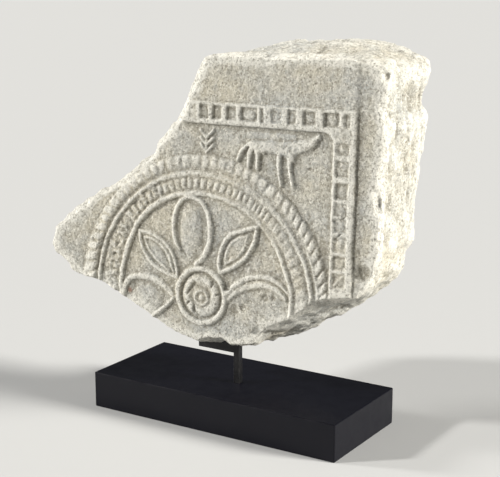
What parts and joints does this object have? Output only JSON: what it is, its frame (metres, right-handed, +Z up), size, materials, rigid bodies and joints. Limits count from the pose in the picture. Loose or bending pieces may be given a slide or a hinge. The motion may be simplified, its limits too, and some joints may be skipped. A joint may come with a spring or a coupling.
{
  "type": "stone relief panel",
  "caption": "Broken corner of a carved stone panel with a rosette in rope rings and a walking beast, held by a rod on a black base.",
  "frame": {"origin": "centre of the base's underside", "axes": "+Z up, X along the base's long side, the carved face looks along -Y"},
  "size_m": [0.3905, 0.1302, 0.3859],
  "materials": {
    "limestone": "weathered sandy limestone, matt, warm grey-beige, with grain and small pits",
    "black_steel": "blackened square steel bar, satin",
    "black_wood": "wood block under satin black lacquer, edges slightly rubbed"
  },
  "bodies": {
    "root": {"relief_fragment": "limestone", "support_rod": "black_steel", "display_base": "black_wood"}
  },
  "joints": []
}
